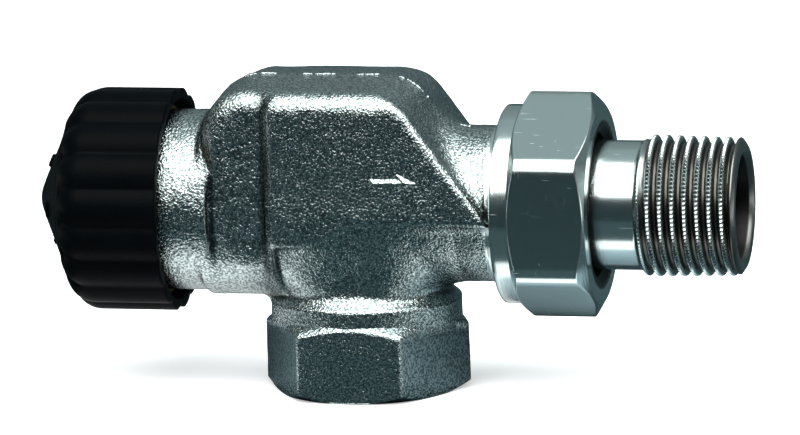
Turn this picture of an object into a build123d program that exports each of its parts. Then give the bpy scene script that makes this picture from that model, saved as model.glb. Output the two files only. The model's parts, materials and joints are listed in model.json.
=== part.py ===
"""Half-inch radiator valve body, axial pattern, with insert, protective cap, union nut and tailpiece."""

import os
from math import asin, cos, degrees, radians, tan

from build123d import *

os.makedirs("parts", exist_ok=True)

# Millimetres. The origin is the middle of the inlet's mouth, the valve axis runs along X at axis_height,
# the head is towards -X, the outlet towards +X and the inlet points down. Threads are plain cylinders.

# Fits, and how far a cut or a joined piece overlaps its neighbour
thread_gap = 0.05
running_gap = 0.05
seal_gap = 0.03
overlap = 1.0

# Inlet
axis_height = 27.8
inlet_hex_flats = 27.0
inlet_hex_height = 11.2
inlet_face_radius = 13.6
hex_chamfer_angle = 30.0
inlet_thread_radius = 9.316
inlet_thread_depth = 14.0
inlet_bore_radius = 8.6
inlet_collar_radius = 13.2
inlet_collar_reach = 14.3
inlet_collar_height = 2.3
riser_radius = 11.5
riser_reach = 12.6
riser_flare_height = 2.0

# Cast housing, heights and reaches counted from the valve axis and the inlet axis
body_wall = 3.5
core_radius = 13.4
core_reach = 6.0
block_half_depth = 13.5
block_reach = 12.0
block_edge_radius = 2.2
strip_half_depth = 12.5
strip_radius = 14.05
strip_reach = 22.5
hump_height = 19.35
hump_head_radius = 7.6
hump_outlet_radius = 7.0
hump_break_reach = 7.8
hump_slope_angle = 54.0
hump_foot_height = 2.5
hump_foot_radius = 3.0
hump_floor_drop = 1.0
casting_draft = 4.0

# Head neck and its thread (M30 x 1.5 at the pitch radius)
neck_radius = 13.5
head_reach = 37.5
head_thread_length = 7.6
head_thread_radius = 14.51
head_bore_radius = 10.05

# Outlet neck and its thread (G 3/4 at the pitch radius)
outlet_neck_radius = 11.6
outlet_taper_length = 10.0
outlet_reach = 30.5
outlet_thread_length = 9.5
outlet_thread_radius = 12.64
outlet_bore_radius = 7.5
outlet_mouth_radius = 10.6
union_cone_angle = 30.0

# Seat and inner passages
seat_reach = 14.5
seat_lip_height = 1.0
seat_lip_width = 1.3
seat_radius = 5.6
disc_chamber_radius = 10.4
throat_offset = 2.5
throat_radius = 6.0
partition = 2.5
passage_half_width = 9.5

# Insert
stroke = 2.25
carrier_gap = 0.8
bonnet_hex_flats = 19.0
bonnet_hex_height = 2.5
bonnet_thread_length = 7.0
bonnet_sleeve_radius = 8.4
spring_chamber_radius = 6.6
bonnet_web = 0.8
bonnet_oring_section = 0.9
oring_groove_margin = 0.2
bush_thickness = 2.0
gland_thread_radius = 4.0
gland_thread_length = 3.5
gland_hex_flats = 11.0
gland_hex_height = 1.2
gland_oring_section = 0.5
stem_oring_section = 0.75
stem_washer_thickness = 0.5

# Spindle
pin_radius = 1.5
pin_projection = 6.5
pin_chamfer = 0.3
spindle_radius = 2.5
spindle_collar_radius = 5.9
spindle_collar_thickness = 1.5
spindle_end_radius = 1.6
spring_mean_radius = 4.7
spring_wire_radius = 0.45
spring_turns = 6.0
spring_seat_thickness = 0.5
disc_seal_radius = 7.2
disc_seal_thickness = 1.5
disc_carrier_wall = 0.8
disc_carrier_depth = 1.0
disc_carrier_back = 1.65
disc_washer_radius = 3.6
disc_washer_thickness = 0.6
disc_nut_flats = 5.5
disc_nut_height = 1.8
spindle_end_excess = 0.3

# Protective cap
arrow_reach = 3.9
arrow_length = 7.4
arrow_rise = 0.55
arrow_bar_width = 1.1
arrow_head_length = 2.9
arrow_head_width = 2.6
arrow_lift = 5.4
cap_radius = 16.6
cap_length = 21.3
cap_crown = 5.2
cap_lobes = 18
cap_lobe_radius = 4.4
cap_lobe_length = 11.5
cap_core_radius = 15.4
cap_cone_radius = 9.6
cap_cone_height = 4.0
cap_tip_radius = 2.4
cap_tip_drop = 0.5
cap_core_inset = 0.25
cap_lobe_turn = 4.4
cap_room = 0.6
cap_rib_count = 5
cap_rib_radius = 6.6
cap_rib_length = 2.4
cap_rib_width = 0.7
cap_rib_height = 0.6
cap_rib_turn = 5.0

# Union nut
nut_flats = 30.0
nut_hex_length = 11.6
nut_collar_length = 2.7
nut_collar_radius = 14.7
nut_corner_radius = 2.4
nut_end_radius = 10.66
nut_end_face_radius = 14.5
nut_end_wall = 3.5
nut_mouth_chamfer = 0.8

# Tailpiece (R 1/2 at the gauge radius)
tail_collar_radius = 11.9
tail_collar_length = 1.6
tail_nose_length = 2.5
tail_seat_gap = 0.1
tail_face_gap = 0.3
tail_tube_radius = 9.54
tail_tube_length = 9.9
tail_thread_radius = 10.4775
tail_thread_length = 14.9
tail_bore_radius = 7.65
tail_end_chamfer = 0.9
tail_lug_height = 1.2
tail_lug_width = 3.0
tail_lug_length = 6.0

# Places along the valve axis
head_x = -head_reach
head_shoulder_x = head_x + head_thread_length
strip_x = -strip_reach
block_x = -block_reach
seat_x = -seat_reach
seat_wall_x = seat_x + seat_lip_height
disc_face_x = seat_x - stroke
carrier_x = disc_face_x - disc_seal_thickness - disc_carrier_back
bonnet_end_x = carrier_x - carrier_gap
bush_x = bonnet_end_x - bush_thickness
spring_seat_x = bush_x - spring_seat_thickness
bonnet_top_x = head_x - bonnet_hex_height
gland_top_x = bonnet_top_x - gland_hex_height
gland_end_x = bonnet_top_x + gland_thread_length
collar_x = gland_end_x + bonnet_web
spring_x = collar_x + spindle_collar_thickness
pin_tip_x = head_x - pin_projection
cap_tip_x = pin_tip_x - cap_crown
cap_rim_x = cap_tip_x + cap_length
outlet_x = outlet_reach
outlet_thread_x = outlet_x - outlet_thread_length
tail_collar_x = outlet_x + tail_face_gap
tail_collar_end_x = tail_collar_x + tail_collar_length
tail_thread_x = tail_collar_end_x + tail_tube_length
tail_end_x = tail_thread_x + tail_thread_length
nut_shoulder_x = tail_collar_end_x + tail_seat_gap
nut_end_x = nut_shoulder_x + nut_end_wall
nut_hex_x = nut_end_x - nut_hex_length
nut_x = nut_hex_x - nut_collar_length

# Planes and axes
axial = Plane(origin=(0, 0, axis_height), x_dir=(1, 0, 0), z_dir=(0, -1, 0))
valve_axis = Axis((0, 0, axis_height), (1, 0, 0))
inlet_axis = Axis((0, 0, 0), (0, 0, 1))
chamfer_rise = tan(radians(hex_chamfer_angle))


def across(x):
    """Plane square to the valve axis at x, with its local y pointing up."""
    return Plane(origin=(x, 0, axis_height), x_dir=(0, 1, 0), z_dir=(1, 0, 0))


def outline(*corners, plane=axial):
    """Closed straight-sided face through the given corners of a plane."""
    with BuildSketch(plane) as face:
        with BuildLine():
            Polyline(*corners, close=True)
        make_face()
    return face.sketch


def tube_outline(start, end, inner, outer):
    """Half section of a plain tube or disc on the valve axis."""
    return outline((start, inner), (end, inner), (end, outer), (start, outer))


def hexagon(plane, flats, corner_radius=0.0):
    """Hexagon with a flat facing along local x, its corners rounded where a radius is given."""
    with BuildSketch(plane) as face:
        RegularPolygon(radius=flats / 2, side_count=6, major_radius=False, rotation=30)
        if corner_radius:
            fillet(face.vertices(), corner_radius)
    return face.sketch


def finish(builder, name):
    """Label a finished piece and write it to its own file."""
    builder.part.label = name
    export_step(builder.part, "parts/" + name + ".step")


# Heights of the inlet end, above its mouth
hex_corner_radius = inlet_hex_flats / 2 / cos(radians(30))
hex_reach = hex_corner_radius + overlap
hex_foot = (hex_reach - inlet_face_radius) * chamfer_rise
hex_crown = inlet_hex_height - (hex_reach - inlet_hex_flats / 2) * chamfer_rise
collar_foot = inlet_hex_height + (inlet_hex_flats / 2 - inlet_collar_radius) * chamfer_rise
collar_top = collar_foot + inlet_collar_height
riser_foot = collar_top + riser_flare_height

# Side outline of the hump, seen from the front
slope_drop = hump_height - hump_foot_height
slope_run = slope_drop / tan(radians(hump_slope_angle))
hump_foot_reach = hump_break_reach + slope_run
hump_floor = -hump_floor_drop

with BuildPart() as inlet_hexagon:
    # Hexagon under the riser with both ends chamfered
    extrude(hexagon(Plane((0, 0, 0), x_dir=(0, 1, 0)), inlet_hex_flats), amount=collar_foot)
    revolve(
        outline(
            (0, 0),
            (inlet_face_radius, 0),
            (hex_reach, hex_foot),
            (hex_reach, hex_crown),
            (inlet_collar_radius, collar_foot),
            (0, collar_foot),
            plane=Plane.XZ,
        ),
        axis=inlet_axis,
        mode=Mode.INTERSECT,
    )

with BuildPart() as valve_body:
    # Drafted block and hump on both sides of the parting plane
    with BuildSketch(axial) as side:
        with BuildLine():
            Polyline(
                (strip_x, hump_floor),
                (strip_x, hump_height),
                (hump_break_reach, hump_height),
                (hump_foot_reach, hump_foot_height),
                (hump_foot_reach - hump_foot_height, hump_floor),
                close=True,
            )
        make_face()
        fillet(side.vertices().group_by(Axis.Y)[-1].sort_by(Axis.X)[0], hump_head_radius)
        fillet(side.vertices().group_by(Axis.Y)[-1].sort_by(Axis.X)[-1], hump_outlet_radius)
        fillet(side.vertices().sort_by(Axis.X)[-1], hump_foot_radius)
    extrude(amount=block_half_depth, both=True, taper=casting_draft)
    fillet(valve_body.faces().sort_by(Axis.Y)[0].edges(), block_edge_radius)
    fillet(valve_body.faces().sort_by(Axis.Y)[-1].edges(), block_edge_radius)

    # Flat-sided strip beside the head neck
    revolve(tube_outline(strip_x, block_x + overlap, 0, strip_radius), axis=valve_axis)
    with BuildSketch(Plane.XY.offset(axis_height)):
        with Locations(((strip_x + block_x - overlap) / 2, 0)):
            Rectangle(strip_reach - block_reach + overlap, 4 * strip_half_depth)
            Rectangle(strip_reach - block_reach + overlap, 2 * strip_half_depth, mode=Mode.SUBTRACT)
    extrude(amount=2 * hump_height, both=True, mode=Mode.SUBTRACT)

    # Raised flow arrow on the front
    arrow_tip_x = arrow_reach + arrow_length
    with BuildSketch(axial.offset(block_half_depth - overlap)):
        with BuildLine():
            shaft = Polyline(
                (arrow_reach, arrow_lift),
                (arrow_reach, arrow_lift + arrow_bar_width / 2),
                (arrow_tip_x - arrow_head_length, arrow_lift + arrow_bar_width / 2),
                (arrow_tip_x - arrow_head_length, arrow_lift + arrow_head_width / 2),
                (arrow_tip_x, arrow_lift),
            )
            mirror(shaft, about=Plane.XZ.offset(-arrow_lift))
        make_face()
    extrude(amount=arrow_rise + overlap)

    # Round core, outlet neck, head neck and the two threads
    taper_end = core_reach + outlet_taper_length
    revolve(
        outline(
            (block_x, 0),
            (block_x, core_radius),
            (core_reach, core_radius),
            (taper_end, outlet_neck_radius),
            (outlet_thread_x, outlet_neck_radius),
            (outlet_thread_x, outlet_thread_radius),
            (outlet_x, outlet_thread_radius),
            (outlet_x, 0),
        ),
        axis=valve_axis,
    )
    revolve(
        outline(
            (head_x, 0),
            (head_x, head_thread_radius),
            (head_shoulder_x, head_thread_radius),
            (head_shoulder_x, neck_radius),
            (strip_x, neck_radius),
            (strip_x, 0),
        ),
        axis=valve_axis,
    )

    # Inlet hexagon, its oval collar and the riser that flares out to it
    add(inlet_hexagon.part)
    with BuildSketch(Plane.XY.offset(hex_crown)):
        Ellipse(inlet_collar_reach, inlet_collar_radius)
    extrude(amount=collar_top - hex_crown)
    with BuildSketch(Plane.XY.offset(collar_top)):
        Ellipse(inlet_collar_reach, inlet_collar_radius)
    with BuildSketch(Plane.XY.offset(riser_foot)):
        Ellipse(riser_reach, riser_radius)
    loft()
    with BuildSketch(Plane.XY.offset(riser_foot)):
        Ellipse(riser_reach, riser_radius)
    extrude(amount=axis_height - riser_foot)

    # Head bore, disc chamber and raised seat
    revolve(
        outline(
            (head_x, 0),
            (head_x, head_bore_radius),
            (bonnet_end_x - body_wall, head_bore_radius),
            (bonnet_end_x - body_wall, disc_chamber_radius),
            (seat_wall_x, disc_chamber_radius),
            (seat_wall_x, seat_radius + seat_lip_width),
            (seat_x, seat_radius + seat_lip_width),
            (seat_x, seat_radius),
            (-throat_offset, seat_radius),
            (-throat_offset, 0),
        ),
        axis=valve_axis,
        mode=Mode.SUBTRACT,
    )

    # Inlet bore and the throat below the seat
    bore_top = axis_height - outlet_bore_radius - partition
    revolve(
        outline(
            (0, 0),
            (inlet_thread_radius, 0),
            (inlet_thread_radius, inlet_thread_depth),
            (inlet_bore_radius, inlet_thread_depth),
            (inlet_bore_radius, bore_top),
            (0, bore_top),
            plane=Plane.XZ,
        ),
        axis=inlet_axis,
        mode=Mode.SUBTRACT,
    )
    with BuildSketch(Plane.XY.offset(bore_top - overlap)):
        with Locations((-throat_offset, 0)):
            Circle(throat_radius)
    extrude(amount=axis_height + throat_radius - bore_top + overlap, mode=Mode.SUBTRACT)

    # Passage over the throat, from the disc chamber down to the outlet
    outlet_start = throat_radius - throat_offset + partition
    passage_floor = throat_radius + partition
    passage_roof = hump_height - body_wall
    passage_left = strip_x + body_wall
    slope_shift = body_wall / cos(radians(90 - hump_slope_angle))
    roof_right = hump_break_reach - slope_shift + body_wall / tan(radians(hump_slope_angle))
    foot_right = roof_right + (passage_roof - passage_floor) / tan(radians(hump_slope_angle))
    extrude(
        outline(
            (passage_left, disc_chamber_radius / 2),
            (passage_left, passage_roof - body_wall),
            (passage_left + body_wall, passage_roof),
            (roof_right, passage_roof),
            (foot_right, passage_floor),
            (foot_right, 0),
            (outlet_start, 0),
            (outlet_start, passage_floor),
            (seat_wall_x, passage_floor),
            (seat_wall_x, disc_chamber_radius / 2),
        ),
        amount=passage_half_width,
        both=True,
        mode=Mode.SUBTRACT,
    )
    cone_depth = (outlet_mouth_radius - outlet_bore_radius) / tan(radians(union_cone_angle))
    revolve(
        outline(
            (outlet_start, 0),
            (outlet_start, outlet_bore_radius),
            (outlet_x - cone_depth, outlet_bore_radius),
            (outlet_x, outlet_mouth_radius),
            (outlet_x, 0),
        ),
        axis=valve_axis,
        mode=Mode.SUBTRACT,
    )
finish(valve_body, "valve_body")

# Groove for the O-ring between insert and body
bonnet_radius = head_bore_radius - thread_gap
groove_floor = head_bore_radius - 2 * (bonnet_oring_section + seal_gap)
groove_x = head_x + bonnet_thread_length
groove_end_x = groove_x + 2 * (bonnet_oring_section + oring_groove_margin)
gland_bore_radius = gland_thread_radius + thread_gap
gland_seat_radius = gland_thread_radius + 2 * (gland_oring_section + seal_gap)
gland_seat_x = bonnet_top_x + 2 * (gland_oring_section + seal_gap)

with BuildPart() as insert_bonnet:
    extrude(hexagon(across(bonnet_top_x), bonnet_hex_flats), amount=bonnet_hex_height)
    revolve(
        outline(
            (head_x, 0),
            (head_x, bonnet_radius),
            (groove_x, bonnet_radius),
            (groove_x, groove_floor),
            (groove_end_x, groove_floor),
            (groove_end_x, bonnet_radius),
            (groove_end_x + body_wall / 2, bonnet_radius),
            (groove_end_x + body_wall / 2, bonnet_sleeve_radius),
            (bonnet_end_x, bonnet_sleeve_radius),
            (bonnet_end_x, 0),
        ),
        axis=valve_axis,
    )
    revolve(
        outline(
            (bonnet_top_x, 0),
            (bonnet_top_x, gland_seat_radius),
            (gland_seat_x, gland_seat_radius),
            (gland_seat_x, gland_bore_radius),
            (gland_end_x, gland_bore_radius),
            (gland_end_x, pin_radius + running_gap),
            (collar_x, pin_radius + running_gap),
            (collar_x, spring_chamber_radius),
            (bonnet_end_x, spring_chamber_radius),
            (bonnet_end_x, 0),
        ),
        axis=valve_axis,
        mode=Mode.SUBTRACT,
    )
finish(insert_bonnet, "insert_bonnet")


def seal_ring(x, mean_radius, section):
    """Torus of round section on the valve axis."""
    with BuildPart() as ring:
        with BuildSketch(axial):
            with Locations((x, mean_radius)):
                Circle(section)
        revolve(axis=valve_axis)
    return ring


bonnet_oring = seal_ring(
    (groove_x + groove_end_x) / 2,
    head_bore_radius - seal_gap - bonnet_oring_section,
    bonnet_oring_section,
)
finish(bonnet_oring, "bonnet_oring")

gland_oring = seal_ring(
    (bonnet_top_x + gland_seat_x) / 2,
    gland_thread_radius + seal_gap + gland_oring_section,
    gland_oring_section,
)
finish(gland_oring, "gland_oring")

# The two stem seals and their spacer stand in the gland nut's bore, against the insert's web
stem_ring_radius = pin_radius + running_gap + stem_oring_section
stem_bore_radius = stem_ring_radius + stem_oring_section + seal_gap
inner_ring_x = gland_end_x - seal_gap - stem_oring_section
stem_washer_x = inner_ring_x - stem_oring_section - seal_gap - stem_washer_thickness
outer_ring_x = stem_washer_x - seal_gap - stem_oring_section
stem_bore_x = outer_ring_x - stem_oring_section - seal_gap

stem_oring_outer = seal_ring(outer_ring_x, stem_ring_radius, stem_oring_section)
finish(stem_oring_outer, "stem_oring_outer")

stem_oring_inner = seal_ring(inner_ring_x, stem_ring_radius, stem_oring_section)
finish(stem_oring_inner, "stem_oring_inner")

with BuildPart() as stem_washer:
    revolve(
        tube_outline(
            stem_washer_x,
            stem_washer_x + stem_washer_thickness,
            pin_radius + running_gap,
            stem_bore_radius - seal_gap,
        ),
        axis=valve_axis,
    )
finish(stem_washer, "stem_washer")

with BuildPart() as gland_nut:
    extrude(hexagon(across(gland_top_x), gland_hex_flats), amount=gland_hex_height)
    revolve(
        tube_outline(bonnet_top_x, gland_end_x, 0, gland_thread_radius),
        axis=valve_axis,
    )
    revolve(
        outline(
            (gland_top_x, 0),
            (gland_top_x, pin_radius + running_gap),
            (stem_bore_x, pin_radius + running_gap),
            (stem_bore_x, stem_bore_radius),
            (gland_end_x, stem_bore_radius),
            (gland_end_x, 0),
        ),
        axis=valve_axis,
        mode=Mode.SUBTRACT,
    )
finish(gland_nut, "gland_nut")

with BuildPart() as push_pin:
    revolve(tube_outline(pin_tip_x, collar_x, 0, pin_radius), axis=valve_axis)
    chamfer(push_pin.edges().filter_by(GeomType.CIRCLE).sort_by(Axis.X)[0], pin_chamfer)
finish(push_pin, "push_pin")

# The spindle's thin end carries the disc pieces
disc_washer_x = disc_face_x
disc_nut_x = disc_washer_x + disc_washer_thickness
spindle_end_x = disc_nut_x + disc_nut_height + spindle_end_excess

with BuildPart() as spindle:
    revolve(
        outline(
            (collar_x, 0),
            (collar_x, spindle_collar_radius),
            (spring_x, spindle_collar_radius),
            (spring_x, spindle_radius),
            (carrier_x, spindle_radius),
            (carrier_x, spindle_end_radius),
            (spindle_end_x, spindle_end_radius),
            (spindle_end_x, 0),
        ),
        axis=valve_axis,
    )
finish(spindle, "spindle")

# The spring stands between the spindle's collar and a washer on the guide bush
spring_length = spring_seat_x - spring_x - 2 * spring_wire_radius
spring_start_x = spring_x + spring_wire_radius

with BuildPart() as return_spring:
    with BuildLine() as coil:
        Helix(
            pitch=spring_length / spring_turns,
            height=spring_length,
            radius=spring_mean_radius,
            center=(spring_start_x, 0, axis_height),
            direction=(1, 0, 0),
        )
    with BuildSketch(Plane(origin=coil.line @ 0, z_dir=coil.line % 0)):
        Circle(spring_wire_radius)
    sweep(path=coil.line, is_frenet=True)
finish(return_spring, "return_spring")

bush_radius = spring_chamber_radius - seal_gap

with BuildPart() as spring_seat:
    revolve(
        tube_outline(spring_seat_x, bush_x, spindle_radius + running_gap, bush_radius),
        axis=valve_axis,
    )
finish(spring_seat, "spring_seat")

with BuildPart() as guide_bush:
    revolve(
        tube_outline(bush_x, bonnet_end_x, spindle_radius + running_gap, bush_radius),
        axis=valve_axis,
    )
finish(guide_bush, "guide_bush")

# Cup, rubber disc, washer and nut on the spindle's end
end_bore_radius = spindle_end_radius + seal_gap
cup_radius = disc_seal_radius + seal_gap + disc_carrier_wall
seal_back_x = disc_face_x - disc_seal_thickness
cup_rim_x = seal_back_x + disc_carrier_depth

with BuildPart() as disc_carrier:
    revolve(
        outline(
            (carrier_x, end_bore_radius),
            (carrier_x, cup_radius),
            (cup_rim_x, cup_radius),
            (cup_rim_x, cup_radius - disc_carrier_wall),
            (seal_back_x, cup_radius - disc_carrier_wall),
            (seal_back_x, end_bore_radius),
        ),
        axis=valve_axis,
    )
finish(disc_carrier, "disc_carrier")

with BuildPart() as disc_seal:
    revolve(
        tube_outline(seal_back_x, disc_face_x, end_bore_radius, disc_seal_radius),
        axis=valve_axis,
    )
finish(disc_seal, "disc_seal")

with BuildPart() as disc_washer:
    revolve(
        tube_outline(disc_washer_x, disc_nut_x, end_bore_radius, disc_washer_radius),
        axis=valve_axis,
    )
finish(disc_washer, "disc_washer")

with BuildPart() as disc_nut:
    extrude(hexagon(across(disc_nut_x), disc_nut_flats), amount=disc_nut_height)
    with BuildSketch(across(disc_nut_x)):
        Circle(end_bore_radius)
    extrude(amount=disc_nut_height, mode=Mode.SUBTRACT)
finish(disc_nut, "disc_nut")

# Cap: a ring of round-ended lobes on a core with a shallow cone
lobe_pitch_radius = cap_radius - cap_lobe_radius
lobe_end_x = cap_rim_x - cap_lobe_length
lobe_angle = 360 / cap_lobes
lobe_axis = Axis((0, 0, axis_height + lobe_pitch_radius), (1, 0, 0))
wedge_reach = cap_radius + cap_lobe_radius
wedge_half_width = wedge_reach * tan(radians(lobe_angle / 2))
cone_x = cap_tip_x + cap_cone_height
cone_end_x = cap_tip_x + cap_tip_drop
tip_sphere_radius = (cap_tip_radius**2 + cap_tip_drop**2) / (2 * cap_tip_drop)
tip_sweep = degrees(asin(cap_tip_radius / tip_sphere_radius))
cone_slope = (cone_x - cone_end_x) / (cap_cone_radius - cap_tip_radius)
cap_thread_radius = head_thread_radius + thread_gap
thread_end_x = head_x - stroke - cap_room
bonnet_room_radius = bonnet_hex_flats / 2 / cos(radians(30)) + cap_room
bonnet_room_x = bonnet_top_x - stroke - cap_room
gland_room_radius = gland_hex_flats / 2 / cos(radians(30)) + cap_room
rib_x = cone_x - (cap_cone_radius - cap_rib_radius) * cone_slope

with BuildPart() as cap_lobe:
    # One lobe with a round end, trimmed to its share of the turn
    with BuildSketch(axial):
        with BuildLine():
            Polyline(
                (lobe_end_x - cap_lobe_radius, lobe_pitch_radius),
                (cap_rim_x, lobe_pitch_radius),
                (cap_rim_x, cap_radius),
                (lobe_end_x, cap_radius),
            )
            CenterArc((lobe_end_x, lobe_pitch_radius), cap_lobe_radius, 90, 90)
        make_face()
    revolve(axis=lobe_axis)
    with BuildSketch(across(cap_rim_x)):
        with BuildLine():
            Polyline(
                (0, 0),
                (wedge_half_width, wedge_reach),
                (-wedge_half_width, wedge_reach),
                close=True,
            )
        make_face()
    extrude(amount=-cap_length, mode=Mode.INTERSECT)

with BuildPart() as protective_cap:
    with BuildSketch(axial):
        with BuildLine():
            Polyline(
                (cap_tip_x, 0),
                (cap_rim_x, 0),
                (cap_rim_x, cap_core_radius),
                (lobe_end_x - cap_lobe_radius / 4, cap_core_radius),
                (lobe_end_x - cap_lobe_radius + cap_core_inset, lobe_pitch_radius),
                (cone_x, cap_cone_radius),
                (cone_end_x, cap_tip_radius),
            )
            CenterArc((cap_tip_x + tip_sphere_radius, 0), tip_sphere_radius, 180 - tip_sweep, tip_sweep)
        make_face()
    revolve(axis=valve_axis)
    add([cap_lobe.part.rotate(valve_axis, cap_lobe_turn + lobe_angle * i) for i in range(cap_lobes)])
    with BuildSketch(across(rib_x - cap_rib_height)):
        with PolarLocations(cap_rib_radius, cap_rib_count, start_angle=180 + cap_rib_turn):
            Rectangle(cap_rib_width, cap_rib_length)
    extrude(amount=2 * cap_rib_height)
    revolve(
        outline(
            (cap_rim_x, 0),
            (cap_rim_x, cap_thread_radius),
            (thread_end_x, cap_thread_radius),
            (thread_end_x, bonnet_room_radius),
            (bonnet_room_x, bonnet_room_radius),
            (bonnet_room_x, gland_room_radius),
            (pin_tip_x, gland_room_radius),
            (pin_tip_x, 0),
        ),
        axis=valve_axis,
        mode=Mode.SUBTRACT,
    )
finish(protective_cap, "protective_cap")

# Nut: round collar and a hexagon chamfered at both ends
nut_reach = nut_flats / 2 / cos(radians(30))
nut_chamfer_in = (nut_reach - nut_collar_radius) * chamfer_rise
nut_chamfer_out = (nut_reach - nut_end_face_radius) * chamfer_rise

with BuildPart() as union_nut:
    extrude(hexagon(across(nut_hex_x), nut_flats, nut_corner_radius), amount=nut_hex_length)
    revolve(
        outline(
            (nut_hex_x, 0),
            (nut_hex_x, nut_collar_radius),
            (nut_hex_x + nut_chamfer_in, nut_reach),
            (nut_end_x - nut_chamfer_out, nut_reach),
            (nut_end_x, nut_end_face_radius),
            (nut_end_x, 0),
        ),
        axis=valve_axis,
        mode=Mode.INTERSECT,
    )
    revolve(tube_outline(nut_x, nut_hex_x, 0, nut_collar_radius), axis=valve_axis)
    revolve(
        outline(
            (nut_x, 0),
            (nut_x, outlet_thread_radius + thread_gap),
            (nut_shoulder_x, outlet_thread_radius + thread_gap),
            (nut_shoulder_x, nut_end_radius),
            (nut_end_x - nut_mouth_chamfer, nut_end_radius),
            (nut_end_x, nut_end_radius + nut_mouth_chamfer),
            (nut_end_x, 0),
        ),
        axis=valve_axis,
        mode=Mode.SUBTRACT,
    )
finish(union_nut, "union_nut")

# Tailpiece: cone nose, collar, tube and thread, with two key lugs in its bore
cone_step = tan(radians(union_cone_angle))
nose_gap = tail_seat_gap / cos(radians(union_cone_angle))
nose_end_x = outlet_x - tail_nose_length
nose_radius = outlet_mouth_radius - tail_nose_length * cone_step - nose_gap
nose_base_radius = outlet_mouth_radius - nose_gap
thread_step = tail_thread_radius - tail_tube_radius

with BuildPart() as tailpiece:
    revolve(
        outline(
            (nose_end_x, tail_bore_radius),
            (nose_end_x, nose_radius),
            (outlet_x, nose_base_radius),
            (tail_collar_x, nose_base_radius),
            (tail_collar_x, tail_collar_radius),
            (tail_collar_end_x, tail_collar_radius),
            (tail_collar_end_x, tail_tube_radius),
            (tail_thread_x - thread_step, tail_tube_radius),
            (tail_thread_x, tail_thread_radius),
            (tail_end_x - tail_end_chamfer, tail_thread_radius),
            (tail_end_x, tail_thread_radius - tail_end_chamfer),
            (tail_end_x, tail_bore_radius + tail_end_chamfer),
            (tail_end_x - tail_end_chamfer, tail_bore_radius),
        ),
        axis=valve_axis,
    )
    with BuildSketch(across(tail_collar_end_x)):
        with PolarLocations(tail_bore_radius - tail_lug_height, 2, start_angle=90):
            Rectangle(2 * tail_lug_height, tail_lug_width, align=(Align.MIN, Align.CENTER))
    extrude(amount=tail_lug_length)
finish(tailpiece, "tailpiece")
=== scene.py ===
"""Looks of a half-inch radiator valve body: cast housing, fluted cap, union nut and tailpiece."""

import json
import math

import bpy
import numpy as np
from mathutils import Matrix, Vector


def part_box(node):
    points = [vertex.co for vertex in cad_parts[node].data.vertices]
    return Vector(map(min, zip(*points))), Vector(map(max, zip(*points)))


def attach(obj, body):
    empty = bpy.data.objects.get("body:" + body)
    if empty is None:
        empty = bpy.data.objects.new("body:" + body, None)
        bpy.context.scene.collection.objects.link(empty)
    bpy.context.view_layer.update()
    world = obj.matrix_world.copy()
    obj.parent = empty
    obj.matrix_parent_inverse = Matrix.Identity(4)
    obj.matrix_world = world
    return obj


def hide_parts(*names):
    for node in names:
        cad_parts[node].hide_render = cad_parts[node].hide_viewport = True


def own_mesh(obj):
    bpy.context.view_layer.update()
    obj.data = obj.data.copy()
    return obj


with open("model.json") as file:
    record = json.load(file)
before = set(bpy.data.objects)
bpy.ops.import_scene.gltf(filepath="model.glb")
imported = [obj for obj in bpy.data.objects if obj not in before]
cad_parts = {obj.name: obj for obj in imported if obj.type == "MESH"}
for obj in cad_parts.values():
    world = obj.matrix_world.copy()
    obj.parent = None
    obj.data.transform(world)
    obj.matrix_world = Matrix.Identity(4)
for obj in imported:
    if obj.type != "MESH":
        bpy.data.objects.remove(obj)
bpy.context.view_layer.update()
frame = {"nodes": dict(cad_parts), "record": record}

# Lengths are millimetres in the frame of the solids. Heights h are counted from the valve axis,
# and angles run round that axis from +Y towards +Z.
MM = 0.001
AXIS_HEIGHT = 27.8
HALF_HEX = math.cos(math.radians(30))


def span(node, axis):
    """Lowest and highest place of a solid along one axis, in millimetres."""
    low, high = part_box(node)
    return low[axis] / MM, high[axis] / MM


HEAD_X, OUTLET_X = span("valve_body", 0)
CAP_TIP_X, CAP_RIM_X = span("protective_cap", 0)
NUT_X, NUT_END_X = span("union_nut", 0)
NOSE_X, TAIL_END_X = span("tailpiece", 0)


# Meshes

def fill_mesh(name, points, faces):
    """Mesh from an array of points in millimetres and an array of four corner numbers to a face. Where a
    corner repeats the next one, the face is a triangle."""
    kept = faces != np.roll(faces, -1, axis=1)
    sizes = kept.sum(axis=1)
    mesh = bpy.data.meshes.new(name)
    mesh.vertices.add(len(points))
    mesh.vertices.foreach_set("co", (points * MM).astype(np.float32).ravel())
    mesh.loops.add(int(sizes.sum()))
    mesh.loops.foreach_set("vertex_index", faces[kept].astype(np.int32))
    mesh.polygons.add(len(faces))
    mesh.polygons.foreach_set("loop_start", (np.cumsum(sizes) - sizes).astype(np.int32))
    mesh.polygons.foreach_set("use_smooth", np.ones(len(faces), bool))
    mesh.update(calc_edges=True)
    return mesh


def add_piece(name, mesh, body, finish, stands_for=None, crease=None):
    """Object for a mesh that rides on a body, with its finish and the solid that it stands for."""
    piece = bpy.data.objects.new(name, mesh)
    bpy.context.scene.collection.objects.link(piece)
    mesh.materials.append(finish)
    if crease:
        mesh.set_sharp_from_angle(angle=math.radians(crease))
    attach(piece, body)
    if stands_for:
        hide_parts(stands_for)
    return piece


def mark_points(mesh, name, values):
    """Attribute with one number for each point of a mesh."""
    mark = mesh.attributes.new(name, "FLOAT", "POINT")
    mark.data.foreach_set("value", np.asarray(values, np.float32).ravel())


def ring_faces(rows, turns, closed):
    """Corner numbers of the quads of a grid whose columns go round once, its rows closed up or not."""
    row = np.arange(rows if closed else rows - 1)[:, None]
    turn = np.arange(turns)[None, :]
    after = (row + 1) % rows
    beside = (turn + 1) % turns
    corners = [row * turns + turn, row * turns + beside, after * turns + beside, after * turns + turn]
    return np.stack(np.broadcast_arrays(*corners), -1).reshape(-1, 4)


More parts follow.
